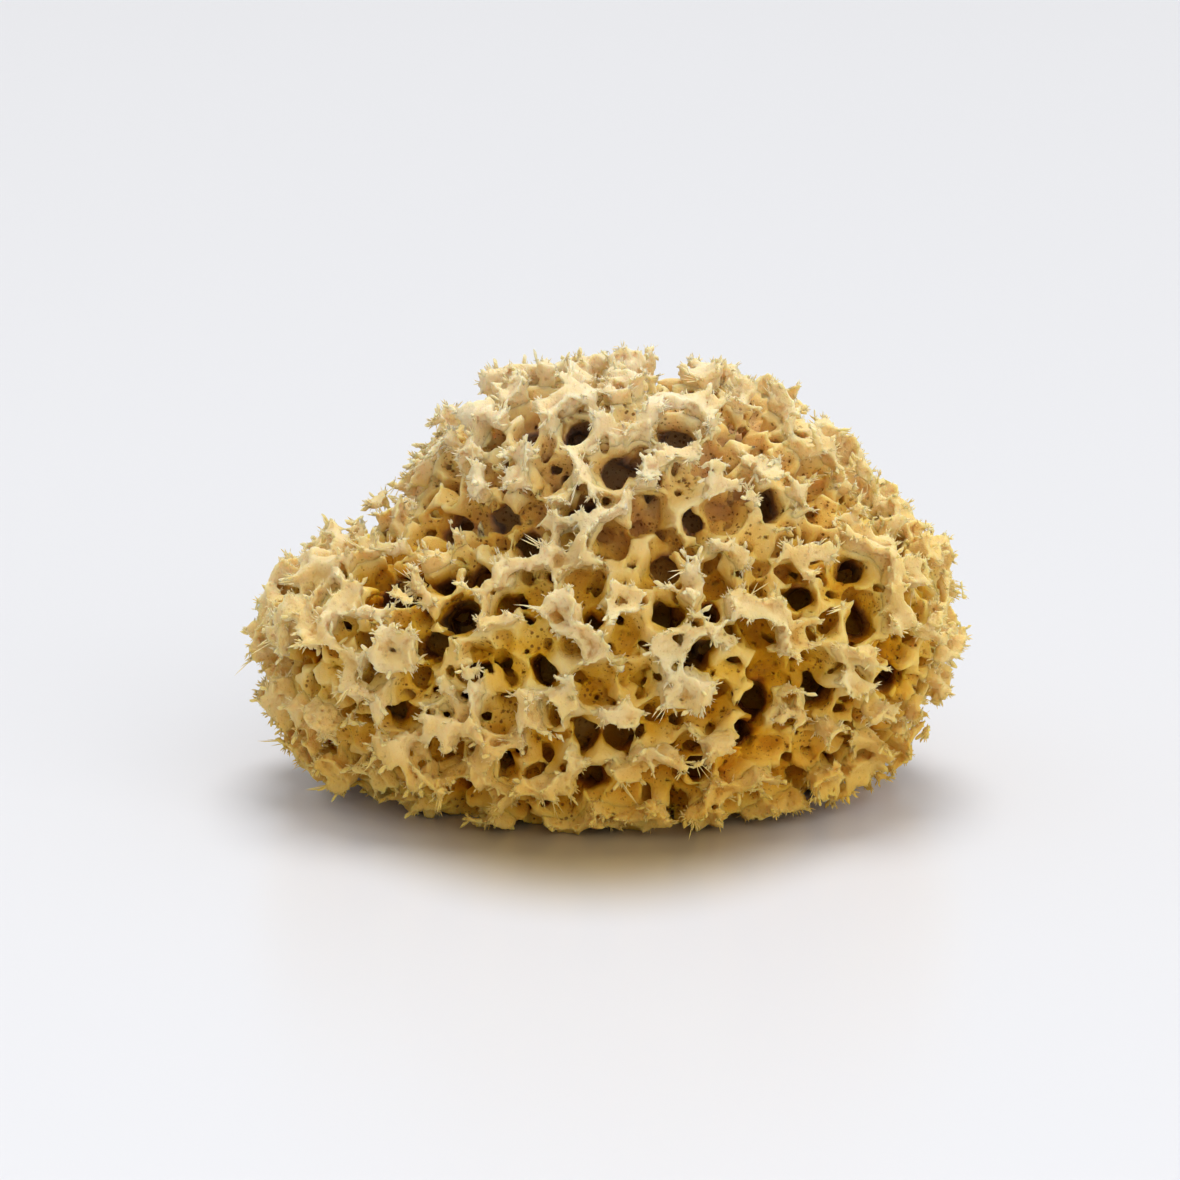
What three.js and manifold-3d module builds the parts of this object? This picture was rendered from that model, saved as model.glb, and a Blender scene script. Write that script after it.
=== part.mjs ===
// A natural honeycomb bath sponge: one grown skeleton with a broad belly, a mound on top,
// a lobe at each side, a flat cut base and round canals that open all over its skin.
// Millimetres, +Z up, front towards -Y. The origin is the middle of the base's own box.
import * as THREE from "three";
import { mergeVertices } from "three/addons/utils/BufferGeometryUtils.js";
import Module from "manifold-3d";

// Driving dimensions
const width = 138;
const depth = 108;
const height = 87;
const skinDetail = 12; // how finely the skin's sphere is split
const lobeSoftness = 11; // how far one lobe melts into the next
const skinRoughness = 1.1; // height of the skin's bumps
const canalSides = 9;
const spiralCanals = 44; // canals laid out evenly wherever none is placed by hand
const canalSpacing = 9.5; // least distance between two canal mouths

const core = new THREE.Vector3(0, 0, 0.42 * height);

// Each lobe is round in plan and squarer in elevation: its centre and its half sizes as shares
// of width, depth and height, and how square its sides stand (2 is an ellipsoid).
const lobes = [
  { name: "belly", at: [-0.01, 0.0, 0.28], half: [0.46, 0.46, 0.4], square: 2.8 },
  { name: "mound", at: [0.02, 0.05, 0.57], half: [0.33, 0.36, 0.425], square: 2.6 },
  { name: "leftLobe", at: [-0.3, -0.02, 0.34], half: [0.195, 0.32, 0.24], square: 2.4 },
  { name: "rightLobe", at: [0.3, 0.0, 0.38], half: [0.2, 0.34, 0.28], square: 2.4 },
  { name: "rightShoulder", at: [0.2, 0.03, 0.5], half: [0.195, 0.3, 0.23], square: 2.2 },
  { name: "backBulge", at: [0.06, 0.22, 0.36], half: [0.3, 0.28, 0.34], square: 2.2 },
].map(({ name, at, half, square }) => ({
  name,
  at: new THREE.Vector3(at[0] * width, at[1] * depth, at[2] * height),
  half: new THREE.Vector3(half[0] * width, half[1] * depth, half[2] * height),
  square,
}));

// The canals that give the front its look, laid out on a plane that leans back as one looks
// down a little on the front: how far across and up the mouth is, its radius and its depth.
const frontLean = THREE.MathUtils.degToRad(14);
const frontCanals = [
  { across: 12.4, up: 66.8, radius: 3.4, deep: 15 },
  { across: 0.4, up: 60, radius: 4.0, deep: 17 },
  { across: -6.8, up: 67.8, radius: 2.8, deep: 12 },
  { across: -16.4, up: 67.2, radius: 2.6, deep: 11 },
  { across: -31.2, up: 50.6, radius: 3.0, deep: 15 },
  { across: -21.2, up: 51, radius: 3.4, deep: 11 },
  { across: -16, up: 46.2, radius: 2.6, deep: 14 },
  { across: -40.4, up: 38.6, radius: 4.4, deep: 18 },
  { across: -32, up: 38.6, radius: 2.2, deep: 15 },
  { across: -28.4, up: 32.4, radius: 3.2, deep: 15 },
  { across: -24.6, up: 40.6, radius: 2.4, deep: 9 },
  { across: 9.8, up: 41.4, radius: 3.6, deep: 11 },
  { across: 10.4, up: 33.2, radius: 2.8, deep: 13 },
  { across: 18.8, up: 33, radius: 2.1, deep: 14 },
  { across: 16.2, up: 25.2, radius: 2.5, deep: 15 },
  { across: 35.2, up: 35.8, radius: 2.6, deep: 14 },
  { across: 30.5, up: 53.5, radius: 3.6, deep: 15 },
  { across: 26.8, up: 14.5, radius: 2.9, deep: 16 },
  { across: 39.6, up: 17, radius: 2.9, deep: 16 },
  { across: 53, up: 20.8, radius: 3.2, deep: 12 },
  { across: 46.8, up: 30, radius: 3.0, deep: 12 },
  { across: 46.8, up: 41.4, radius: 3.0, deep: 12 },
  { across: -13.6, up: 22.2, radius: 2.7, deep: 11 },
  { across: -2.6, up: 10.8, radius: 4.6, deep: 13 },
  { across: -3.4, up: 2.2, radius: 3.0, deep: 10 },
  { across: 15.6, up: 3, radius: 2.6, deep: 12 },
  { across: -39.8, up: 13.6, radius: 2.4, deep: 11 },
  { across: 14.7, up: 50, radius: 2.3, deep: 9 },
];

// How far a point is outside a lobe, along the line from the lobe's centre.
function lobeDistance(point, lobe) {
  const local = point.clone().sub(lobe.at);
  const scaled = local.clone().divide(lobe.half);
  const plan = Math.hypot(scaled.x, scaled.y);
  const far = (plan ** lobe.square + Math.abs(scaled.z) ** lobe.square) ** (1 / lobe.square);
  return local.length() * (1 - 1 / Math.max(far, 1e-6));
}

function smoothMinimum(a, b, softness) {
  const share = Math.max(softness - Math.abs(a - b), 0) / softness;
  return Math.min(a, b) - (share * share * softness) / 4;
}

// Negative inside the sponge, positive outside.
function skinDistance(point) {
  return lobes
    .map((lobe) => lobeDistance(point, lobe))
    .reduce((a, b) => smoothMinimum(a, b, lobeSoftness));
}

// Gentle bumps that never repeat over the size of a sponge.
function bumps({ x, y, z }) {
  const wave = (a, b, c, phase) =>
    Math.sin(x / a + phase) * Math.sin(y / b - phase) * Math.sin(z / c + 2 * phase);
  return skinRoughness * (wave(4.1, 5.3, 4.7, 0.6) + 0.6 * wave(2.6, 2.9, 2.3, 1.9));
}

// Walks in from far outside until it meets the skin, then halves the last step.
function meetSkin(from, direction) {
  const at = (t) => from.clone().addScaledVector(direction, t);
  let t = 0;
  while (t < 2 * width && skinDistance(at(t)) > 0) t += 1;
  if (t >= 2 * width) throw new Error("a canal misses the sponge");
  let [outside, inside] = [t - 1, t];
  for (let i = 0; i < 12; i += 1) {
    const middle = (outside + inside) / 2;
    if (skinDistance(at(middle)) > 0) outside = middle;
    else inside = middle;
  }
  return at((outside + inside) / 2);
}

function skinNormal(point) {
  const reach = 0.5;
  const slope = ["x", "y", "z"].map((axis) => {
    const ahead = point.clone();
    const behind = point.clone();
    ahead[axis] += reach;
    behind[axis] -= reach;
    return skinDistance(ahead) - skinDistance(behind);
  });
  return new THREE.Vector3(...slope).normalize();
}

// A bare closed surface, ready to become a solid.
function bare(geometry) {
  geometry.deleteAttribute("normal");
  geometry.deleteAttribute("uv");
  return mergeVertices(geometry, 1e-4);
}

// The skin: a sphere of even triangles pushed out to the lobes.
function skinGeometry() {
  const geometry = bare(new THREE.IcosahedronGeometry(1, skinDetail));
  const place = geometry.getAttribute("position");
  for (let i = 0; i < place.count; i += 1) {
    const direction = new THREE.Vector3().fromBufferAttribute(place, i).normalize();
    const start = core.clone().addScaledVector(direction, width);
    const point = meetSkin(start, direction.clone().negate());
    point.addScaledVector(direction, bumps(point));
    place.setXYZ(i, point.x, point.y, point.z);
  }
  return geometry;
}

// The block under z = 0 that leaves the base flat when it is cut away.
function groundGeometry() {
  const side = 2 * width;
  return bare(new THREE.BoxGeometry(side, side, side).translate(0, 0, -side / 2));
}

// A canal: a flared mouth, a slight waist and a round end, along +Y with its mouth at the origin.
function canalGeometry(radius, deep) {
  const profile = [[0, -deep]];
  const endSteps = 2;
  for (let i = 1; i <= endSteps; i += 1) {
    const turn = (i / endSteps) * (Math.PI / 2);
    profile.push([0.8 * radius * Math.sin(turn), -deep + 0.8 * radius * (1 - Math.cos(turn))]);
  }
  profile.push([0.85 * radius, -0.3 * deep], [1.15 * radius, 0.6 * radius]);
  profile.push([1.6 * radius, 2.5 * radius], [0, 2.5 * radius]);
  return bare(new THREE.LatheGeometry(profile.map(([r, y]) => new THREE.Vector2(r, y)), canalSides));
}

function placedCanal(mouth, inwards, radius, deep) {
  const up = new THREE.Vector3(0, 1, 0);
  const turn = new THREE.Quaternion().setFromUnitVectors(up, inwards.clone().negate());
  const matrix = new THREE.Matrix4().compose(mouth, turn, new THREE.Vector3(1, 1, 1));
  return canalGeometry(radius, deep).applyMatrix4(matrix);
}

// Canals on the front, then even ones from a spiral of directions wherever there is room.
function allCanals() {
  const canals = [];
  const lookIn = new THREE.Vector3(0, Math.cos(frontLean), -Math.sin(frontLean));
  const planeUp = new THREE.Vector3(0, Math.sin(frontLean), Math.cos(frontLean));
  for (const { across, up, radius, deep } of frontCanals) {
    const start = new THREE.Vector3(across, 0, 0);
    start.addScaledVector(planeUp, up).addScaledVector(lookIn, -depth);
    const mouth = meetSkin(start, lookIn);
    const inwards = skinNormal(mouth).negate().add(lookIn).normalize();
    canals.push({ mouth, inwards, radius, deep });
  }
  const goldenTurn = Math.PI * (3 - Math.sqrt(5));
  for (let i = 0; i < spiralCanals; i += 1) {
    const up = 0.95 - (1.55 * i) / (spiralCanals - 1);
    const flat = Math.sqrt(1 - up * up);
    const turn = i * goldenTurn;
    const direction = new THREE.Vector3(flat * Math.cos(turn), flat * Math.sin(turn), up);
    const start = core.clone().addScaledVector(direction, width);
    const mouth = meetSkin(start, direction.clone().negate());
    const radius = 2.6 + 1.5 * Math.abs(Math.sin(5.1 * i));
    const crowded = canals.some((other) => other.mouth.distanceTo(mouth) < canalSpacing);
    if (crowded || mouth.z < 2.5 * radius) continue;
    canals.push({ mouth, inwards: skinNormal(mouth).negate(), radius, deep: 3.4 * radius });
  }
  return canals;
}

const wasm = await Module();
wasm.setup();

function solidOf(geometry) {
  return new wasm.Manifold(
    new wasm.Mesh({
      numProp: 3,
      vertProperties: new Float32Array(geometry.getAttribute("position").array),
      triVerts: new Uint32Array(geometry.index.array),
    }),
  );
}

function geometryOf(solid) {
  const mesh = solid.getMesh();
  return new THREE.BufferGeometry()
    .setAttribute("position", new THREE.BufferAttribute(mesh.vertProperties, 3))
    .setIndex(new THREE.BufferAttribute(mesh.triVerts, 1));
}

// The skin with its base cut flat and every canal cut out of it, set down with the middle of
// its box over the origin.
function spongeGeometry() {
  let solid = solidOf(skinGeometry()).subtract(solidOf(groundGeometry()));
  for (const { mouth, inwards, radius, deep } of allCanals()) {
    solid = solid.subtract(solidOf(placedCanal(mouth, inwards, radius, deep)));
  }
  const largest = solid.decompose().reduce((a, b) => (a.volume() > b.volume() ? a : b));
  const geometry = geometryOf(largest);
  geometry.computeBoundingBox();
  const { min, max } = geometry.boundingBox;
  return geometry.translate(-(min.x + max.x) / 2, -(min.y + max.y) / 2, 0);
}

const spongeMaterial = new THREE.MeshStandardMaterial({
  color: new THREE.Color(0.78, 0.6, 0.33),
  roughness: 0.85,
  metalness: 0,
});

const sponge = new THREE.Mesh(spongeGeometry(), spongeMaterial);
sponge.name = "sponge";

const part = new THREE.Group();
part.add(sponge);

export default part;
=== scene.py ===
import math
import time
import bpy
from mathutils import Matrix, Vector


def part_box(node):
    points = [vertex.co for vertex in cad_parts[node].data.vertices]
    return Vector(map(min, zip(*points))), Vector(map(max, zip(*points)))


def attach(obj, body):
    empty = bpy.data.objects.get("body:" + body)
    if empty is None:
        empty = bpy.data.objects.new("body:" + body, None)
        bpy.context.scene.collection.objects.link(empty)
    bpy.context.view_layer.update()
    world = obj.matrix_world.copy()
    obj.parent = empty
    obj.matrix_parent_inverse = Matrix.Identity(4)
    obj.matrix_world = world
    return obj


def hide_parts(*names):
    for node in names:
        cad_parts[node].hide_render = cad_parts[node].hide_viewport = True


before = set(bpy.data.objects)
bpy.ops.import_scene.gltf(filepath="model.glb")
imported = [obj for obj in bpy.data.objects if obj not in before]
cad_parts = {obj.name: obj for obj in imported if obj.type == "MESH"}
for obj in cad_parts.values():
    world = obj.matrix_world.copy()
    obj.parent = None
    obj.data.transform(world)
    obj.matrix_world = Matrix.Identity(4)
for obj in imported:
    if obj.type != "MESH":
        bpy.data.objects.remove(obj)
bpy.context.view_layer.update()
startTime = time.time()


def report(words):
    print(f"[{time.time() - startTime:6.1f} s] {words}", flush=True)


# Everything is laid out in millimetres from the sponge's own box, then scaled to metres
mmPerMetre = 1000.0
lowCorner, highCorner = (Vector(corner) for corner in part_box("sponge"))
spongeSize = (highCorner - lowCorner) * mmPerMetre
spongeMiddle = (highCorner + lowCorner) * mmPerMetre / 2
report(f"frame loaded, sponge {spongeSize.x:.0f} x {spongeSize.y:.0f} x {spongeSize.z:.0f} mm")


# small helpers for node trees

def feed(tree, socket, value):
    if isinstance(value, bpy.types.NodeSocket):
        tree.links.new(value, socket)
    else:
        socket.default_value = value


def addNode(tree, kind, inputs=None, **settings):
    node = tree.nodes.new(kind)
    for name, value in settings.items():
        setattr(node, name, value)
    for name, value in (inputs or {}).items():
        feed(tree, node.inputs[name], value)
    return node


def mathNode(tree, operation, *values):
    node = addNode(tree, "ShaderNodeMath", operation=operation)
    for socket, value in zip(node.inputs, values):
        feed(tree, socket, value)
    return node.outputs[0]


def vectorNode(tree, operation, *values):
    node = addNode(tree, "ShaderNodeVectorMath", operation=operation)
    for socket, value in zip(node.inputs, values):
        feed(tree, socket, value)
    givesNumber = operation in ("LENGTH", "DISTANCE", "DOT_PRODUCT")
    return node.outputs[1 if givesNumber else 0]


def scaled(tree, vector, amount):
    node = addNode(tree, "ShaderNodeVectorMath", operation="SCALE")
    feed(tree, node.inputs[0], vector)
    feed(tree, node.inputs["Scale"], amount)
    return node.outputs[0]


def ramp(tree, value, fromMin, fromMax, toMin=0.0, toMax=1.0, kind="SMOOTHSTEP"):
    node = addNode(tree, "ShaderNodeMapRange", interpolation_type=kind)
    for socket, amount in zip(node.inputs, (value, fromMin, fromMax, toMin, toMax)):
        feed(tree, socket, amount)
    return node.outputs[0]


def noise(tree, vector, size, detail=1.0, roughness=0.5, color=False):
    node = addNode(tree, "ShaderNodeTexNoise", inputs={
        "Vector": vector, "Scale": 1.0 / size, "Detail": detail, "Roughness": roughness})
    return node.outputs[1 if color else 0]


def xyz(tree, vector):
    node = addNode(tree, "ShaderNodeSeparateXYZ", inputs={"Vector": vector})
    return node.outputs[0], node.outputs[1], node.outputs[2]


def newTree(name, inputs, outputs, kind="GeometryNodeTree"):
    tree = bpy.data.node_groups.new(name, kind)
    for socketName, socketType, value in inputs:
        socket = tree.interface.new_socket(socketName, in_out="INPUT", socket_type=socketType)
        if value is not None:
            socket.default_value = value
    for socketName, socketType in outputs:
        tree.interface.new_socket(socketName, in_out="OUTPUT", socket_type=socketType)
    return tree, tree.nodes.new("NodeGroupInput"), tree.nodes.new("NodeGroupOutput")


def useGroup(tree, group, inputs):
    node = tree.nodes.new("GeometryNodeGroup")
    node.node_tree = group
    for name, value in inputs.items():
        feed(tree, node.inputs[name], value)
    return node


def setInput(modifier, name, value):
    for item in modifier.node_group.interface.items_tree:
        if item.item_type == "SOCKET" and item.in_out == "INPUT" and item.name == name:
            modifier[item.identifier] = value
            return
    raise KeyError(name)


# the outer shape: round lobes that melt into each other

# centre and half size as shares of width, depth and height, and how square the sides stand
bodyLobes = {
    "belly": ((-0.01, -0.02, 0.28), (0.46, 0.45, 0.4), 2.8),
    "mound": ((0.03, 0.022, 0.56), (0.33, 0.36, 0.415), 2.8),
    "leftLobe": ((-0.3, -0.048, 0.34), (0.195, 0.32, 0.24), 2.4),
    "rightLobe": ((0.3, -0.028, 0.38), (0.2, 0.34, 0.28), 2.4),
    "rightShoulder": ((0.2, 0.002, 0.5), (0.195, 0.3, 0.23), 2.2),
    "backBulge": ((0.06, 0.192, 0.36), (0.3, 0.28, 0.34), 2.2),
}
bodyShape = {
    "lobeSoftness": 21.0,
    "lumpSize": 21.0,
    "lumpHeight": 2.4,
    "inset": 6.8,        # the walls lie this far under the tips of the plates
}


def lobeGroup():
    tree, start, end = newTree("lobe", [
        ("Place", "NodeSocketVector", None),
        ("Centre", "NodeSocketVector", None),
        ("Half Size", "NodeSocketVector", None),
        ("Square", "NodeSocketFloat", 2.0),
    ], [("Distance", "NodeSocketFloat")])
    square = start.outputs["Square"]
    local = vectorNode(tree, "SUBTRACT", start.outputs["Place"], start.outputs["Centre"])
    x, y, z = xyz(tree, vectorNode(tree, "DIVIDE", local, start.outputs["Half Size"]))
    xSquare = mathNode(tree, "MULTIPLY", x, x)
    plan = mathNode(tree, "SQRT", mathNode(tree, "ADD", xSquare, mathNode(tree, "MULTIPLY", y, y)))
    tall = mathNode(tree, "ABSOLUTE", z)
    planPower = mathNode(tree, "POWER", plan, square)
    total = mathNode(tree, "ADD", planPower, mathNode(tree, "POWER", tall, square))
    root = mathNode(tree, "POWER", total, mathNode(tree, "DIVIDE", 1.0, square))
    far = mathNode(tree, "MAXIMUM", root, 1e-4)
    outside = mathNode(tree, "SUBTRACT", 1.0, mathNode(tree, "DIVIDE", 1.0, far))
    feed(tree, end.inputs[0], mathNode(tree, "MULTIPLY", vectorNode(tree, "LENGTH", local), outside))
    return tree


def skinGroup():
    # distance outside the skin, negative inside
    tree, start, end = newTree("skin", [
        ("Place", "NodeSocketVector", None),
    ], [("Distance", "NodeSocketFloat")])
    place = start.outputs["Place"]
    lobe = lobeGroup()
    distance = None
    for name, (at, half, square) in bodyLobes.items():
        centre = Vector(a * b for a, b in zip(at, spongeSize))
        halfSize = Vector(a * b for a, b in zip(half, spongeSize))
        node = useGroup(tree, lobe, {
            "Place": place, "Centre": centre, "Half Size": halfSize, "Square": square})
        node.label = name
        if distance is None:
            distance = node.outputs[0]
        else:
            softness = bodyShape["lobeSoftness"]
            distance = mathNode(tree, "SMOOTH_MIN", distance, node.outputs[0], softness)
    lumps = ramp(tree, noise(tree, place, bodyShape["lumpSize"], 1.5), 0.2, 0.8, -0.5, 0.5, "LINEAR")
    lumpy = mathNode(tree, "MULTIPLY", lumps, bodyShape["lumpHeight"])
    feed(tree, end.inputs[0], mathNode(tree, "ADD", distance, lumpy))
    return tree


# the skeleton: canals, pits and wells carved out of the body, star plates standing between them

skeletonShape = {
    "bodyVoxel": 0.55,
    "plateVoxel": 0.45,
    "bodyFaces": 196000,
    "plateFaces": 196000,
    "bodyCrumb": 20000.0,    # loose pieces with fewer faces than this are dropped
    "plateCrumb": 60.0,
    "smoothing": 6,
    "seed": 4,
}
# how far the middles of holes and stars keep from each other
skeletonRoom = {
    "canalFromMouth": 9.0,
    "pitFromMouth": 5.6, "pitFromCanal": 5.6,
    "gapFromMouth": 5.2, "gapFromCanal": 5.0, "gapFromPit": 5.9,
    "starSpacing": 2.0, "starFromPit": 4.6, "starFromGap": 2.9,
    "starFromMouth": 4.7, "starFromCanal": 3.6,
    "starsLeftOut": 0.1,
}
skeletonSizes = {
    "Canal Spacing": 16.0, "Canal Radius": 2.1, "Canal Depth": 12.0,
    "Pit Spacing": 8.0, "Pit Radius": 4.3, "Pit Depth": 4.8,
    "Gap Spacing": 4.6, "Gap Radius": 2.3,
    "Well Spacing": 4.4, "Well Radius": 1.3, "Well Depth": 8.0,
    "Pore Size": 2.2, "Pore Radius": 0.6,
    "Plate Spacing": 4.4, "Plate Reach": 6.2, "Plate Height": 6.0,
}
# the star plates, in millimetres
plateForm = {
    "rootDepth": 2.0,
    "armStart": 0.4,             # share of the reach where an arm starts to narrow
    "armNarrowing": 1.5,
    "edge": (0.45, 1.0),         # how steeply a plate rises, by the distance to its pits
    "lowestShare": 0.45,         # of the height, in low patches and at the foot
    "dishWidth": (1.4, 3.4), "dishDepth": 1.3,
    "lumpSize": 2.8, "lumpHeight": 0.3,
    "cuspPlace": (1.2, 4.0), "cuspHeight": (-0.4, 0.7),
}
# how far each kind of hole reaches above the skin, how it leans and winds, and its seed
holeRuns = {
    "front": {"outer": 5.0, "lean": 0.12, "wander": 2.5, "seedShift": 11},
    "canal": {"outer": 5.0, "lean": 0.25, "wander": 3.0, "seedShift": 24},
    "pit": {"outer": 5.0, "lean": 0.3, "wander": 2.0, "seedShift": 34},
    "gap": {"outer": 5.0, "lean": 0.3, "wander": 2.0, "seedShift": 38},
    "well": {"outer": 3.0, "lean": 0.5, "wander": 2.5, "seedShift": 44},
    "star": {"outer": 7.0, "lean": 0.3, "wander": 1.0, "seedShift": 47},
}
# each random choice has a seed of its own, added to the tree's
seedShifts = {
    "canals": 21, "canalDepth": 22, "pits": 31, "pitDepth": 32, "gaps": 36, "gapDepth": 37,
    "wells": 41, "wellDepth": 42, "stars": 46, "starsLeftOut": 51,
}
# canals listed one by one on the front: across, up (in a plane leaning back by the view), radius, depth
frontLean = math.radians(14)
frontCanals = [
    (12.4, 66.8, 3.3, 12), (0.4, 60, 3.4, 10), (-6.8, 67.8, 2.6, 9), (-16.4, 67.2, 2.6, 9),
    (-31.2, 50.6, 3.3, 13), (-21.2, 51, 3.2, 9), (-16, 46.2, 2.9, 12), (-40.4, 38.6, 5.2, 16),
    (-32, 38.6, 2.3, 14), (-28.4, 32.4, 3.6, 14), (-24.6, 40.6, 2.3, 8), (9.8, 41.4, 3.2, 7),
    (10.4, 33.2, 2.7, 12), (18.8, 33, 2.1, 13), (16.2, 25.2, 2.6, 14), (35.2, 35.8, 2.6, 13),
    (30.5, 53.5, 3.0, 13), (26.8, 16.2, 2.9, 15), (25.2, 10.6, 2.5, 15), (39.6, 17, 2.8, 14),
    (53, 20.8, 3.0, 11), (46.8, 30, 2.8, 12), (46.8, 41.4, 2.8, 11), (-13.6, 22.2, 2.5, 10),
    (-4.6, 10.8, 2.8, 6), (0.8, 10.2, 2.8, 7), (-3.4, 2.2, 2.6, 8), (15.6, 3, 2.3, 10),
    (-39.8, 13.6, 2.2, 9), (14.7, 50, 2.1, 7), (-33.5, 27.0, 2.3, 11),
]


def canalStartMesh():
    # one loose point in front of each listed canal, with its radius and depth
    lookIn = Vector((0, math.cos(frontLean), -math.sin(frontLean)))
    planeUp = Vector((0, math.sin(frontLean), math.cos(frontLean)))
    points = [Vector((across, 0, 0)) + planeUp * up - lookIn * spongeSize.y
              for across, up, *_ in frontCanals]
    mesh = bpy.data.meshes.new("canalStarts")
    mesh.from_pydata(points, [], [])
    for name, column in (("canalRadius", 2), ("canalDepth", 3)):
        layer = mesh.attributes.new(name, "FLOAT", "POINT")
        layer.data.foreach_set("value", [float(canal[column]) for canal in frontCanals])
    return mesh


def volumeSurface(tree, density, low, high, voxel):
    steps = [max(8, round((b - a) / voxel)) for a, b in zip(low, high)]
    cube = addNode(tree, "GeometryNodeVolumeCube", inputs={
        "Density": density, "Background": -5.0, "Min": low, "Max": high,
        "Resolution X": steps[0], "Resolution Y": steps[1], "Resolution Z": steps[2]})
    surface = addNode(tree, "GeometryNodeVolumeToMesh", inputs={
        "Volume": cube.outputs[0], "Threshold": 0.0, "Adaptivity": 0.0})
    return surface.outputs[0]


def withoutCrumbs(tree, mesh, leastFaces):
    island = addNode(tree, "GeometryNodeInputMeshIsland").outputs["Island Index"]
    count = addNode(tree, "GeometryNodeAccumulateField", data_type="FLOAT", domain="FACE", inputs={
        "Value": 1.0, "Group ID": island}).outputs["Total"]
    small = compared(tree, count, leastFaces, "LESS_THAN")
    return addNode(tree, "GeometryNodeDeleteGeometry", domain="FACE", inputs={
        "Geometry": mesh, "Selection": small}).outputs[0]


def randomFloat(tree, seed, lowest, highest, seedShift, each=None):
    node = addNode(tree, "FunctionNodeRandomValue", data_type="FLOAT")
    floats = [socket for socket in node.inputs if socket.type == "VALUE"]
    feed(tree, floats[0], lowest)
    feed(tree, floats[1], highest)
    feed(tree, node.inputs["Seed"], mathNode(tree, "ADD", seed, seedShift))
    if each is not None:
        feed(tree, node.inputs["ID"], each)
    return [socket for socket in node.outputs if socket.type == "VALUE"][0]


def randomVector(tree, seed, reach, seedShift, each=None):
    node = addNode(tree, "FunctionNodeRandomValue", data_type="FLOAT_VECTOR")
    vectors = [socket for socket in node.inputs if socket.type == "VECTOR"]
    feed(tree, vectors[0], (-reach, -reach, -reach))
    feed(tree, vectors[1], (reach, reach, reach))
    feed(tree, node.inputs["Seed"], mathNode(tree, "ADD", seed, seedShift))
    if each is not None:
        feed(tree, node.inputs["ID"], each)
    return [socket for socket in node.outputs if socket.type == "VECTOR"][0]


def named(tree, name, kind="FLOAT"):
    node = addNode(tree, "GeometryNodeInputNamedAttribute", data_type=kind, inputs={"Name": name})
    return node.outputs[0]


def stored(tree, geometry, name, value, kind="FLOAT"):
    return addNode(tree, "GeometryNodeStoreNamedAttribute", data_type=kind, domain="POINT", inputs={
        "Geometry": geometry, "Name": name, "Value": value}).outputs[0]


def compared(tree, first, second, operation):
    node = addNode(tree, "FunctionNodeCompare", data_type="FLOAT", operation=operation)
    feed(tree, node.inputs[0], first)
    feed(tree, node.inputs[1], second)
    return node.outputs[0]


def moved(tree, geometry, offset):
    return addNode(tree, "GeometryNodeSetPosition", inputs={
        "Geometry": geometry, "Offset": offset}).outputs[0]


def distanceTo(tree, target, element="EDGES", source=None):
    node = addNode(tree, "GeometryNodeProximity", target_element=element)
    feed(tree, node.inputs[0], target)
    if source is not None:
        feed(tree, node.inputs["Source Position"], source)
    return node.outputs["Distance"]


def keptAway(tree, points, target, room):
    near = compared(tree, distanceTo(tree, target, "POINTS"), room, "LESS_THAN")
    return addNode(tree, "GeometryNodeDeleteGeometry", domain="POINT", inputs={
        "Geometry": points, "Selection": near}).outputs[0]


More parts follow.
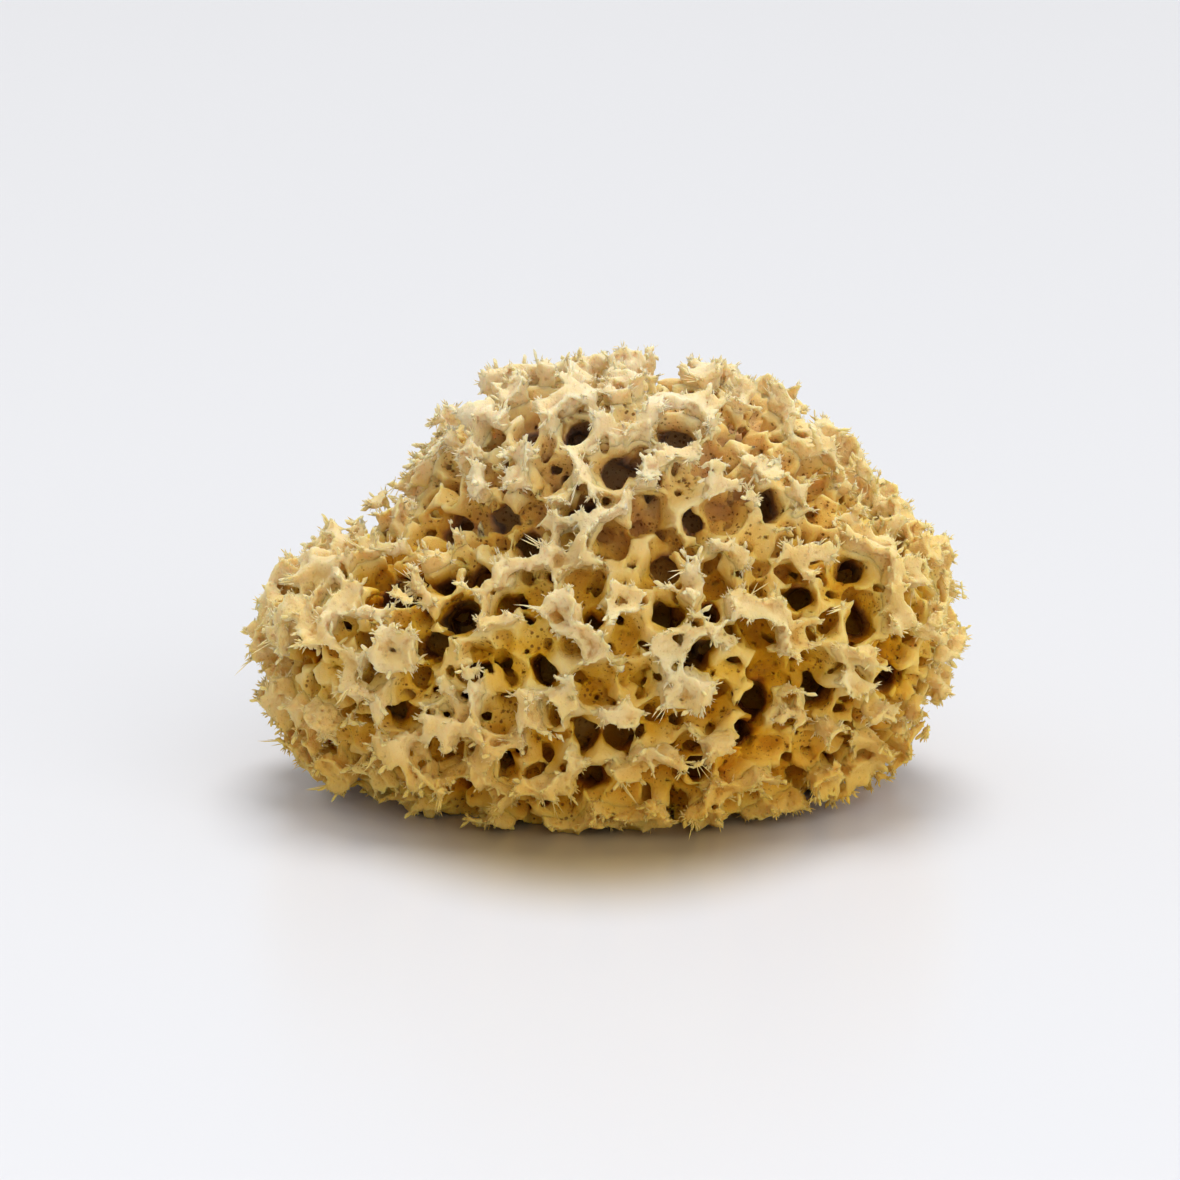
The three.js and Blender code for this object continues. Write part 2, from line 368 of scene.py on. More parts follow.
def skeletonTree(skin):
    sizeSockets = [(name, "NodeSocketFloat", value) for name, value in skeletonSizes.items()]
    tree, start, end = newTree("skeletonTree", [
        ("Geometry", "NodeSocketGeometry", None),
        ("Plates Only", "NodeSocketBool", False),
        *sizeSockets,
        ("Seed", "NodeSocketInt", skeletonShape["seed"]),
        ("Material", "NodeSocketMaterial", None),
    ], [("Geometry", "NodeSocketGeometry")])
    size = start.outputs
    seed = size["Seed"]
    place = addNode(tree, "GeometryNodeInputPosition").outputs[0]
    _, _, height = xyz(tree, place)
    skinAway = useGroup(tree, skin, {"Place": place}).outputs[0]
    skinAway = mathNode(tree, "ADD", skinAway, bodyShape["inset"])
    halfPlan = Vector((spongeSize.x / 2 + 3.5, spongeSize.y / 2 + 3.5, 0.0))
    low = -halfPlan + Vector((0, 0, -1.2))
    high = halfPlan + Vector((0, 0, spongeSize.z + 3.0))

    # the plain skin, only for placing the holes
    plainBody = mathNode(tree, "MULTIPLY", skinAway, -1.0)
    belowFloor = Vector((0, 0, 12))
    plainSkin = volumeSurface(tree, plainBody, low - belowFloor, high, 2.0)

    # the listed canals meet the skin along the line of sight
    lookIn = Vector((0.0, math.cos(frontLean), -math.sin(frontLean)))
    ray = addNode(tree, "GeometryNodeRaycast", inputs={
        "Target Geometry": plainSkin, "Ray Direction": lookIn, "Ray Length": 400.0})
    hit = {socket.name: socket for socket in ray.outputs}
    slant = vectorNode(tree, "NORMALIZE", vectorNode(tree, "ADD", hit["Hit Normal"], -lookIn * 1.2))
    mouths = stored(tree, size["Geometry"], "outwards", slant, "FLOAT_VECTOR")
    mouths = addNode(tree, "GeometryNodeSetPosition", inputs={
        "Geometry": mouths, "Position": hit["Hit Position"]}).outputs[0]

    notTooLow = compared(tree, height, -4.0, "GREATER_THAN")

    def scattered(spacing, choice):
        node = addNode(tree, "GeometryNodeDistributePointsOnFaces", distribute_method="POISSON", inputs={
            "Mesh": plainSkin, "Distance Min": spacing, "Density Max": 1.0, "Selection": notTooLow,
            "Seed": mathNode(tree, "ADD", seed, seedShifts[choice])})
        return stored(tree, node.outputs["Points"], "outwards", node.outputs["Normal"], "FLOAT_VECTOR")

    unitLine = addNode(tree, "GeometryNodeMeshLine", mode="END_POINTS", inputs={
        "Count": 6, "Start Location": (0, 0, 0), "Offset": (0, 0, 1)}).outputs[0]

    def drift(patchSize):
        # a vector that changes slowly from place to place
        swirl = noise(tree, place, patchSize, 0.0, color=True)
        return vectorNode(tree, "SUBTRACT", swirl, (0.5, 0.5, 0.5))

    def holeLines(points, inner, outer, lean, wander, seedShift):
        # each hole's middle line runs from `inner` under the skin to `outer` above it
        tilt = randomVector(tree, seed, lean, seedShift)
        aim = vectorNode(tree, "ADD", named(tree, "outwards", "FLOAT_VECTOR"), tilt)
        aim = vectorNode(tree, "NORMALIZE", aim)
        points = stored(tree, points, "aim", aim, "FLOAT_VECTOR")
        points = stored(tree, points, "inner", inner)
        aim, inner = named(tree, "aim", "FLOAT_VECTOR"), named(tree, "inner")
        sunk = scaled(tree, aim, mathNode(tree, "MULTIPLY", inner, -1.0))
        points = moved(tree, points, sunk)
        turn = addNode(tree, "FunctionNodeAlignRotationToVector", axis="Z", inputs={
            "Vector": aim}).outputs[0]
        length = mathNode(tree, "ADD", inner, outer)
        stretch = addNode(tree, "ShaderNodeCombineXYZ", inputs={
            "X": 1.0, "Y": 1.0, "Z": length}).outputs[0]
        placed = addNode(tree, "GeometryNodeInstanceOnPoints", inputs={
            "Points": points, "Instance": unitLine, "Rotation": turn, "Scale": stretch}).outputs[0]
        lines = addNode(tree, "GeometryNodeRealizeInstances", inputs={"Geometry": placed}).outputs[0]
        return moved(tree, lines, scaled(tree, drift(9.0), wander))

    warp = drift(4.5)
    fray = drift(1.1)
    under = mathNode(tree, "MULTIPLY", skinAway, -1.0)
    frayed = ramp(tree, under, -1.0, -3.5, 0.3, 1.7)
    shift = vectorNode(tree, "ADD", scaled(tree, warp, 3.0), scaled(tree, fray, frayed))
    warped = vectorNode(tree, "ADD", place, shift)

    def holeField(lines, radius):
        # negative inside the holes
        return mathNode(tree, "SUBTRACT", distanceTo(tree, lines, source=warped), radius)

    def varied(value, lowest, highest, choice):
        share = randomFloat(tree, seed, lowest, highest, seedShifts[choice])
        return mathNode(tree, "MULTIPLY", value, share)

    def patchy(value, patchSize, lowest, highest):
        patches = ramp(tree, noise(tree, place, patchSize), 0.3, 0.7, lowest, highest, "LINEAR")
        return mathNode(tree, "MULTIPLY", value, patches)

    flare = ramp(tree, under, -4.5, 0.5, 0.9, 1.0)
    bowl = ramp(tree, under, -1.0, 3.0, 1.2, 1.0)

    frontLines = holeLines(mouths, named(tree, "canalDepth"), **holeRuns["front"])
    nearest = addNode(tree, "GeometryNodeSampleNearest", domain="POINT", inputs={
        "Geometry": frontLines}).outputs[0]
    frontRadius = addNode(tree, "GeometryNodeSampleIndex", data_type="FLOAT", domain="POINT", inputs={
        "Geometry": frontLines, "Value": named(tree, "canalRadius"), "Index": nearest}).outputs[0]
    frontHoles = holeField(frontLines, mathNode(tree, "MULTIPLY", frontRadius, bowl))

    room = skeletonRoom
    deepPoints = scattered(size["Canal Spacing"], "canals")
    deepPoints = keptAway(tree, deepPoints, mouths, room["canalFromMouth"])
    deepInner = varied(size["Canal Depth"], 0.7, 1.3, "canalDepth")
    deepLines = holeLines(deepPoints, deepInner, **holeRuns["canal"])
    deepHoles = holeField(deepLines, patchy(size["Canal Radius"], 9.0, 0.7, 1.3))

    pitPoints = scattered(size["Pit Spacing"], "pits")
    pitPoints = keptAway(tree, pitPoints, mouths, room["pitFromMouth"])
    pitPoints = keptAway(tree, pitPoints, deepPoints, room["pitFromCanal"])
    pitInner = varied(size["Pit Depth"], 0.4, 1.5, "pitDepth")
    pitInner = mathNode(tree, "SUBTRACT", pitInner, size["Pit Radius"])
    pitLines = holeLines(pitPoints, pitInner, **holeRuns["pit"])
    pitRadius = patchy(size["Pit Radius"], 7.0, 0.75, 1.15)
    pits = holeField(pitLines, mathNode(tree, "MULTIPLY", pitRadius, flare))

    # smaller pits wherever the big ones leave a wide gap
    gapPoints = scattered(size["Gap Spacing"], "gaps")
    gapPoints = keptAway(tree, gapPoints, mouths, room["gapFromMouth"])
    gapPoints = keptAway(tree, gapPoints, deepPoints, room["gapFromCanal"])
    gapPoints = keptAway(tree, gapPoints, pitPoints, room["gapFromPit"])
    gapInner = varied(size["Pit Depth"], 0.4, 1.5, "gapDepth")
    gapInner = mathNode(tree, "SUBTRACT", gapInner, size["Gap Radius"])
    gapLines = holeLines(gapPoints, gapInner, **holeRuns["gap"])
    gapRadius = patchy(size["Gap Radius"], 7.0, 0.75, 1.15)
    gaps = holeField(gapLines, mathNode(tree, "MULTIPLY", gapRadius, flare))
    pits = mathNode(tree, "SMOOTH_MIN", pits, gaps, 0.8)

    wellInner = varied(size["Well Depth"], 0.5, 1.2, "wellDepth")
    wellLines = holeLines(scattered(size["Well Spacing"], "wells"), wellInner, **holeRuns["well"])
    wells = holeField(wellLines, patchy(size["Well Radius"], 5.0, 0.4, 1.6))

    carve = mathNode(tree, "SMOOTH_MIN", frontHoles, deepHoles, 0.8)
    carve = mathNode(tree, "SMOOTH_MIN", carve, pits, 0.8)

    # low rims round the pits; star plates grow where the ridges meet, with an arm along each ridge
    rim = ramp(tree, carve, 0.0, 0.7)
    starPoints = scattered(room["starSpacing"], "stars")
    starPoints = keptAway(tree, starPoints, pitPoints, room["starFromPit"])
    starPoints = keptAway(tree, starPoints, gapPoints, room["starFromGap"])
    starPoints = keptAway(tree, starPoints, mouths, room["starFromMouth"])
    starPoints = keptAway(tree, starPoints, deepPoints, room["starFromCanal"])
    starPoints = addNode(tree, "GeometryNodeMergeByDistance", inputs={
        "Geometry": starPoints, "Distance": size["Plate Spacing"]}).outputs[0]
    lot = randomFloat(tree, seed, 0.0, 1.0, seedShifts["starsLeftOut"])
    leftOut = compared(tree, lot, room["starsLeftOut"], "LESS_THAN")
    starPoints = addNode(tree, "GeometryNodeDeleteGeometry", domain="POINT", inputs={
        "Geometry": starPoints, "Selection": leftOut}).outputs[0]
    starLines = holeLines(starPoints, plateForm["rootDepth"], **holeRuns["star"])
    starAway = distanceTo(tree, starLines, source=warped)
    reach = size["Plate Reach"]
    armStart = mathNode(tree, "MULTIPLY", reach, plateForm["armStart"])
    taper = ramp(tree, starAway, armStart, reach, 0.0, plateForm["armNarrowing"])
    plate = ramp(tree, mathNode(tree, "SUBTRACT", carve, taper), *plateForm["edge"])
    lowest = plateForm["lowestShare"]
    tallness = ramp(tree, noise(tree, place, 7.0, 0.0), 0.32, 0.54, lowest, 1.0)
    unevenness = ramp(tree, noise(tree, place, 9.0, 0.0), 0.3, 0.7, 0.6, 1.0, "LINEAR")
    tallness = mathNode(tree, "MULTIPLY", tallness, unevenness)
    tallness = mathNode(tree, "MULTIPLY", tallness, ramp(tree, height, -1.0, 6.0, lowest, 1.0))
    raised = mathNode(tree, "MULTIPLY", plate, tallness)
    raised = mathNode(tree, "MULTIPLY", raised, size["Plate Height"])
    # wide plates are dished, and every top is a little lumpy
    dish = ramp(tree, carve, *plateForm["dishWidth"])
    dish = mathNode(tree, "MULTIPLY", dish, plateForm["dishDepth"])
    lumps = noise(tree, place, plateForm["lumpSize"], 0.0)
    lumps = ramp(tree, lumps, 0.3, 0.7, -plateForm["lumpHeight"], plateForm["lumpHeight"], "LINEAR")
    cusps = mathNode(tree, "SUBTRACT", lumps, dish)
    tips = ramp(tree, starAway, *plateForm["cuspPlace"], *plateForm["cuspHeight"])
    cusps = mathNode(tree, "ADD", cusps, tips)
    topShape = mathNode(tree, "MULTIPLY", cusps, plate)
    raised = mathNode(tree, "ADD", mathNode(tree, "ADD", raised, rim), topShape)

    # small pores in clusters, only near the skin
    pores = addNode(tree, "ShaderNodeTexVoronoi", feature="F1", inputs={
        "Vector": place, "Scale": mathNode(tree, "DIVIDE", 1.0, size["Pore Size"]), "Randomness": 1.0})
    poreAway = mathNode(tree, "MULTIPLY", pores.outputs["Distance"], size["Pore Size"])
    cluster = ramp(tree, noise(tree, place, 8.0, 0.0), 0.42, 0.52)
    poreRoom = mathNode(tree, "MULTIPLY", size["Pore Radius"], cluster)
    poreRoom = mathNode(tree, "MULTIPLY", poreRoom, ramp(tree, under, -2.0, 0.0))
    poreRoom = mathNode(tree, "MULTIPLY", poreRoom, ramp(tree, under, 8.0, 6.0))
    smallHoles = mathNode(tree, "MINIMUM", wells, mathNode(tree, "SUBTRACT", poreAway, poreRoom))
    allHoles = mathNode(tree, "SMOOTH_MIN", carve, smallHoles, 0.4)

    def bounded(solid):
        return mathNode(tree, "MAXIMUM", mathNode(tree, "MINIMUM", solid, height), -4.0)

    body = bounded(mathNode(tree, "MINIMUM", mathNode(tree, "ADD", under, rim), allHoles))
    # a plate reaches a little into the body, and is narrower there
    sunkIn = ramp(tree, under, -0.8, -0.2, 0.0, 0.45)
    overRim = mathNode(tree, "SUBTRACT", mathNode(tree, "SUBTRACT", raised, rim), 0.15)
    top = mathNode(tree, "MINIMUM", mathNode(tree, "SUBTRACT", raised, skinAway), overRim)
    foot = mathNode(tree, "SUBTRACT", 0.8, under)
    plates = mathNode(tree, "MINIMUM", top, foot)
    plates = mathNode(tree, "MINIMUM", plates, mathNode(tree, "SUBTRACT", allHoles, sunkIn))
    plates = bounded(plates)

    bodyMesh = volumeSurface(tree, body, low, high, skeletonShape["bodyVoxel"])
    bodyMesh = withoutCrumbs(tree, bodyMesh, skeletonShape["bodyCrumb"])
    plateMesh = volumeSurface(tree, plates, low, high, skeletonShape["plateVoxel"])
    plateMesh = withoutCrumbs(tree, plateMesh, skeletonShape["plateCrumb"])
    chosen = addNode(tree, "GeometryNodeSwitch", input_type="GEOMETRY", inputs={
        "Switch": size["Plates Only"], "False": bodyMesh, "True": plateMesh}).outputs[0]
    # painted shade depth: canal walls darken sooner than the pits do
    canalShade = ramp(tree, mathNode(tree, "MINIMUM", frontHoles, deepHoles), 1.2, 0.2)
    canalShade = mathNode(tree, "MULTIPLY", canalShade, ramp(tree, under, 0.5, 4.5, 0.0, 4.0))
    relief = stored(tree, chosen, "under", under)
    relief = stored(tree, relief, "paintedShadeDepth", mathNode(tree, "ADD", under, canalShade))
    middle = (spongeMiddle.x / mmPerMetre, spongeMiddle.y / mmPerMetre, 0.0)
    scaledDown = addNode(tree, "GeometryNodeTransform", inputs={
        "Geometry": relief, "Translation": middle, "Scale": (1 / mmPerMetre,) * 3}).outputs[0]
    realized = addNode(tree, "GeometryNodeRealizeInstances", inputs={
        "Geometry": scaledDown}).outputs[0]
    finished = addNode(tree, "GeometryNodeSetMaterial", inputs={
        "Geometry": realized, "Material": size["Material"]}).outputs[0]
    feed(tree, end.inputs[0], finished)
    return tree


def applied(piece):
    # the evaluated result as a plain mesh, with the modifier gone
    graph = bpy.context.evaluated_depsgraph_get()
    mesh = bpy.data.meshes.new_from_object(piece.evaluated_get(graph))
    piece.modifiers.clear()
    piece.data = mesh
    return piece


def thinned(piece, faces):
    triangles = sum(len(polygon.vertices) - 2 for polygon in piece.data.polygons)
    if triangles > faces:
        modifier = piece.modifiers.new("thin", "DECIMATE")
        modifier.ratio = faces / triangles
        modifier.use_collapse_triangulate = True
        applied(piece)
    return piece


def skeletonPiece(name, tree, material, platesOnly, faces):
    piece = bpy.data.objects.new(name, canalStartMesh())
    bpy.context.collection.objects.link(piece)
    modifier = piece.modifiers.new(name, "NODES")
    modifier.node_group = tree
    for inputName, value in skeletonSizes.items():
        setInput(modifier, inputName, value)
    setInput(modifier, "Seed", skeletonShape["seed"])
    setInput(modifier, "Plates Only", platesOnly)
    setInput(modifier, "Material", material)
    applied(piece)
    grown = len(piece.data.polygons)
    thinned(piece, faces)
    modifier = piece.modifiers.new("bulge", "NODES")
    modifier.node_group = bulgeTree()
    setInput(modifier, "Smoothing", skeletonShape["smoothing"])
    applied(piece)
    piece.data.shade_smooth()
    report(f"{name}: {grown} faces grown, {len(piece.data.polygons)} kept")
    return piece


def aboveFloor(tree, geometry):
    place = addNode(tree, "GeometryNodeInputPosition").outputs[0]
    lifted = vectorNode(tree, "MAXIMUM", place, (-1000.0, -1000.0, 0.0))
    return addNode(tree, "GeometryNodeSetPosition", inputs={
        "Geometry": geometry, "Position": lifted}).outputs[0]


def bulgeTree():
    # how far each place stands out from its surroundings, and which way
    tree, start, end = newTree("bulgeTree", [
        ("Geometry", "NodeSocketGeometry", None),
        ("Smoothing", "NodeSocketInt", 6),
    ], [("Geometry", "NodeSocketGeometry")])
    place = scaled(tree, addNode(tree, "GeometryNodeInputPosition").outputs[0], mmPerMetre)
    normal = addNode(tree, "GeometryNodeInputNormal").outputs[0]
    blur = addNode(tree, "GeometryNodeBlurAttribute", data_type="FLOAT_VECTOR")
    feed(tree, [socket for socket in blur.inputs if socket.type == "VECTOR"][0], place)
    feed(tree, blur.inputs["Iterations"], start.outputs["Smoothing"])
    smoothed = [socket for socket in blur.outputs if socket.type == "VECTOR"][0]
    outwards = vectorNode(tree, "SUBTRACT", place, smoothed)
    bulge = vectorNode(tree, "DOT_PRODUCT", outwards, normal)
    geometry = stored(tree, start.outputs["Geometry"], "bulge", bulge)
    geometry = stored(tree, geometry, "tipWay", outwards, "FLOAT_VECTOR")
    feed(tree, end.inputs[0], aboveFloor(tree, geometry))
    return tree


def fibreTree(skin):
    # tapering fibres that grow in small sprays from the places that stand out most
    tree, start, end = newTree("fibreTree", [
        ("Geometry", "NodeSocketGeometry", None),
        ("Spacing", "NodeSocketFloat", 1.0),
        ("Least Bulge", "NodeSocketFloat", 0.4),
        ("Full Bulge", "NodeSocketFloat", 1.0),
        ("Deepest", "NodeSocketFloat", 2.0),
        ("Fibres Each", "NodeSocketInt", 4),
        ("Length", "NodeSocketFloat", 2.0),
        ("Thickness", "NodeSocketFloat", 0.2),
        ("Spread", "NodeSocketFloat", 0.5),
        ("Outwards", "NodeSocketFloat", 0.5),
        ("Scatter", "NodeSocketFloat", 0.3),
        ("Bend", "NodeSocketFloat", 0.3),
        ("Sides", "NodeSocketInt", 3),
        ("Seed", "NodeSocketInt", 1),
        ("Material", "NodeSocketMaterial", None),
    ], [("Geometry", "NodeSocketGeometry")])
    size = start.outputs
    grown = addNode(tree, "GeometryNodeTransform", inputs={
        "Geometry": size["Geometry"], "Scale": (mmPerMetre,) * 3}).outputs[0]
    bulge = named(tree, "bulge")
    under = named(tree, "under")
    standsOut = ramp(tree, bulge, size["Least Bulge"], size["Full Bulge"])
    fullDepth = mathNode(tree, "SUBTRACT", size["Deepest"], 1.5)
    likely = mathNode(tree, "MULTIPLY", standsOut, ramp(tree, under, size["Deepest"], fullDepth))
    place = addNode(tree, "GeometryNodeInputPosition").outputs[0]
    _, _, height = xyz(tree, place)
    likely = mathNode(tree, "MULTIPLY", likely, ramp(tree, height, 0.4, 1.6))
    spots = addNode(tree, "GeometryNodeDistributePointsOnFaces", distribute_method="POISSON", inputs={
        "Mesh": grown, "Distance Min": size["Spacing"], "Density Max": 4.0, "Density Factor": likely,
        "Seed": size["Seed"]})
    points = addNode(tree, "GeometryNodeDuplicateElements", domain="POINT", inputs={
        "Geometry": spots.outputs["Points"], "Amount": size["Fibres Each"]}).outputs[0]

    seed = size["Seed"]
    each = addNode(tree, "GeometryNodeInputIndex").outputs[0]

    # which way is out, from the skin's slope
    reach = 1.5
    slopes = []
    for axis in ((reach, 0, 0), (0, reach, 0), (0, 0, reach)):
        ahead = useGroup(tree, skin, {"Place": vectorNode(tree, "ADD", place, axis)}).outputs[0]
        here = useGroup(tree, skin, {"Place": place}).outputs[0]
        slopes.append(mathNode(tree, "SUBTRACT", ahead, here))
    slope = addNode(tree, "ShaderNodeCombineXYZ", inputs=dict(zip("XYZ", slopes)))
    out = vectorNode(tree, "NORMALIZE", slope.outputs[0])
    tipWay = vectorNode(tree, "NORMALIZE", named(tree, "tipWay", "FLOAT_VECTOR"))
    aim = vectorNode(tree, "ADD", tipWay, scaled(tree, out, size["Outwards"]))
    stray = scaled(tree, randomVector(tree, seed, 1.0, 3, each), size["Spread"])
    aim = vectorNode(tree, "ADD", aim, stray)
    jitter = scaled(tree, randomVector(tree, seed, 1.0, 4, each), size["Scatter"])
    sunk = vectorNode(tree, "SUBTRACT", jitter, scaled(tree, tipWay, 0.25))
    points = moved(tree, points, sunk)

    # one fibre: bent and tapering along +Z, one millimetre long before scaling
    segments = 2
    line = addNode(tree, "GeometryNodeCurvePrimitiveLine", mode="POINTS", inputs={
        "Start": (0, 0, 0), "End": (0, 0, 1)})
    line = addNode(tree, "GeometryNodeResampleCurve", mode="COUNT", inputs={
        "Curve": line.outputs[0], "Count": segments + 1}).outputs[0]
    along = addNode(tree, "GeometryNodeSplineParameter").outputs["Factor"]
    sideways = mathNode(tree, "MULTIPLY", mathNode(tree, "MULTIPLY", along, along), size["Bend"])
    bend = addNode(tree, "ShaderNodeCombineXYZ", inputs={"X": sideways, "Y": 0.0, "Z": 0.0}).outputs[0]
    line = moved(tree, line, bend)
    taper = ramp(tree, along, 0.0, 1.0, 1.0, 0.35, "LINEAR")
    line = addNode(tree, "GeometryNodeSetCurveRadius", inputs={
        "Curve": line, "Radius": taper}).outputs[0]
    ring = addNode(tree, "GeometryNodeCurvePrimitiveCircle", mode="RADIUS", inputs={
        "Resolution": size["Sides"], "Radius": 0.5}).outputs[0]
    hair = addNode(tree, "GeometryNodeCurveToMesh", inputs={
        "Curve": line, "Profile Curve": ring, "Fill Caps": True}).outputs[0]

    turn = addNode(tree, "FunctionNodeAlignRotationToVector", axis="Z", inputs={
        "Vector": aim}).outputs[0]
    spin = addNode(tree, "FunctionNodeAxisAngleToRotation", inputs={
        "Axis": (0, 0, 1), "Angle": randomFloat(tree, seed, 0.0, 6.283, 5, each)}).outputs[0]
    turn = addNode(tree, "FunctionNodeRotateRotation", rotation_space="LOCAL", inputs={
        "Rotation": turn, "Rotate By": spin}).outputs[0]
    tall = mathNode(tree, "MULTIPLY", size["Length"], randomFloat(tree, seed, 0.45, 1.25, 6, each))
    wide = mathNode(tree, "MULTIPLY", size["Thickness"], randomFloat(tree, seed, 0.7, 1.3, 7, each))
    stretch = addNode(tree, "ShaderNodeCombineXYZ", inputs={
        "X": wide, "Y": wide, "Z": tall}).outputs[0]
    placed = addNode(tree, "GeometryNodeInstanceOnPoints", inputs={
        "Points": points, "Instance": hair, "Rotation": turn, "Scale": stretch}).outputs[0]
    fibres = addNode(tree, "GeometryNodeRealizeInstances", inputs={"Geometry": placed}).outputs[0]
    fibres = aboveFloor(tree, fibres)
    fibres = addNode(tree, "GeometryNodeTransform", inputs={
        "Geometry": fibres, "Scale": (1 / mmPerMetre,) * 3}).outputs[0]
    finished = addNode(tree, "GeometryNodeSetMaterial", inputs={
        "Geometry": fibres, "Material": size["Material"]}).outputs[0]
    feed(tree, end.inputs[0], finished)
    return tree


# sprays on the tips of the star plates
tuftShape = {
    "Spacing": 0.6, "Least Bulge": 0.65, "Full Bulge": 1.05, "Deepest": 0.0, "Fibres Each": 4,
    "Length": 1.1, "Thickness": 0.22, "Spread": 0.45, "Outwards": 0.1, "Scatter": 0.22, "Bend": 1.2,
    "Sides": 3, "Seed": 11,
}
# short down along the plates' edges
downShape = {
    "Spacing": 0.8, "Least Bulge": 0.4, "Full Bulge": 0.8, "Deepest": -0.5, "Fibres Each": 2,
    "Length": 0.75, "Thickness": 0.13, "Spread": 0.6, "Outwards": 0.3, "Scatter": 0.25, "Bend": 1.0,
    "Sides": 3, "Seed": 23,
}
# small bundles of long straight strands
strandShape = {
    "Spacing": 13.0, "Least Bulge": 0.2, "Full Bulge": 0.6, "Deepest": 0.0, "Fibres Each": 3,
    "Length": 3.0, "Thickness": 0.17, "Spread": 0.25, "Outwards": 0.1, "Scatter": 0.5, "Bend": 1.2,
    "Sides": 4, "Seed": 37,
}
# pointed conules that stand straight out, seen best along the outline
conuleShape = {
    "Spacing": 2.4, "Least Bulge": 0.45, "Full Bulge": 0.9, "Deepest": -1.0, "Fibres Each": 1,
    "Length": 1.5, "Thickness": 0.62, "Spread": 0.5, "Outwards": 0.6, "Scatter": 0.1, "Bend": 0.9,
    "Sides": 6, "Seed": 53,
}


def fibrePiece(name, tree, shape, base, material):
    piece = bpy.data.objects.new(name, base.data.copy())
    bpy.context.collection.objects.link(piece)
    modifier = piece.modifiers.new(name, "NODES")
    modifier.node_group = tree
    for inputName, value in shape.items():
        setInput(modifier, inputName, value)
    setInput(modifier, "Material", material)
    applied(piece)
    piece.data.shade_smooth()
    report(f"{name}: {len(piece.data.polygons)} faces")
    return piece


# colours and finishes

finishLook = {
    # colour by depth under the skin, in millimetres: the sponge's own pale plates and deeper ochre
    # inside, with painted shade darkening the deep holes to near black
    "depthColorsAndShade": [
        (-4.0, (0.77, 0.61, 0.315)), (-2.0, (0.785, 0.60, 0.26)), (0.0, (0.79, 0.565, 0.165)),
        (2.5, (0.74, 0.455, 0.045)), (5.0, (0.62, 0.315, 0.006)), (7.5, (0.34, 0.12, 0.001)),
        (10.5, (0.07, 0.016, 0.0005)),
    ],
    "crestColor": (0.76, 0.61, 0.34),
    "fibreColor": (0.85, 0.67, 0.36),
    # painted shade in the crevices
    "creviceShadeColor": (0.56, 0.26, 0.012),
    # painted light on the top and painted shade at the foot
    "paintedTopLight": (0.18, 0.18, 0.16),
    "paintedFootShade": (0.95, 0.78, 0.36),
    "rightTint": (1.0, 0.96, 0.80),
    # painted shade in the pinholes
    "pinholeShadeColor": (0.20, 0.08, 0.01),
    "pinholeCell": 1.35,
    "pinholeRadius": 0.32,
    "fineCell": 0.8,
    "fineRadius": 0.17,
}


def mottleGroup():
    # slow drift of a colour between a warmer and a paler cast
    tree, start, end = newTree("mottle", [
        ("Color", "NodeSocketColor", None),
        ("Place", "NodeSocketVector", None),
        ("Patch Size", "NodeSocketFloat", 9.0),
        ("Strength", "NodeSocketFloat", 1.0),
    ], [("Color", "NodeSocketColor")], "ShaderNodeTree")
    patches = addNode(tree, "ShaderNodeTexNoise", inputs={
        "Vector": start.outputs["Place"], "Detail": 3.0,
        "Scale": mathNode(tree, "DIVIDE", 1.0, start.outputs["Patch Size"])}).outputs[0]
    amount = ramp(tree, patches, 0.35, 0.65, 0.0, 1.0)
    amount = mathNode(tree, "MULTIPLY", amount, start.outputs["Strength"])
    warm = mixed(tree, "MULTIPLY", start.outputs["Color"], (0.98, 0.88, 0.60), amount)
    pale = ramp(tree, patches, 0.5, 0.3)
    feed(tree, end.inputs[0], mixed(tree, "SCREEN", warm, (0.08, 0.075, 0.035), pale))
    return tree


def mixed(tree, blend, first, second, amount):
    node = addNode(tree, "ShaderNodeMix", data_type="RGBA", blend_type=blend)
    feed(tree, node.inputs[0], amount)
    for socket, value in ((node.inputs[6], first), (node.inputs[7], second)):
        feed(tree, socket, value if isinstance(value, bpy.types.NodeSocket) else (*value, 1.0))
    return node.outputs[2]


def objectPlace(tree):
    # millimetres in the sponge's own frame
    coordinates = addNode(tree, "ShaderNodeTexCoord").outputs["Object"]
    return scaled(tree, coordinates, mmPerMetre)


def dots(tree, place, cell, radius, soft):
    cells = addNode(tree, "ShaderNodeTexVoronoi", feature="F1", inputs={
        "Vector": place, "Scale": 1.0 / cell})
    away = mathNode(tree, "MULTIPLY", cells.outputs["Distance"], cell)
    return ramp(tree, away, radius + soft, radius - soft)


def withPaintedLightAndRightTint(tree, color, place):
    # painted light makes it paler towards the top, painted shade makes it deeper ochre towards the foot,
    # and it is deeper ochre towards the right
    across, _, height = xyz(tree, place)
    color = mixed(tree, "SCREEN", color, finishLook["paintedTopLight"], ramp(tree, height, 40.0, 80.0))
    color = mixed(tree, "MULTIPLY", color, finishLook["paintedFootShade"], ramp(tree, height, 34.0, 4.0))
    return mixed(tree, "MULTIPLY", color, finishLook["rightTint"], ramp(tree, across, 5.0, 55.0))


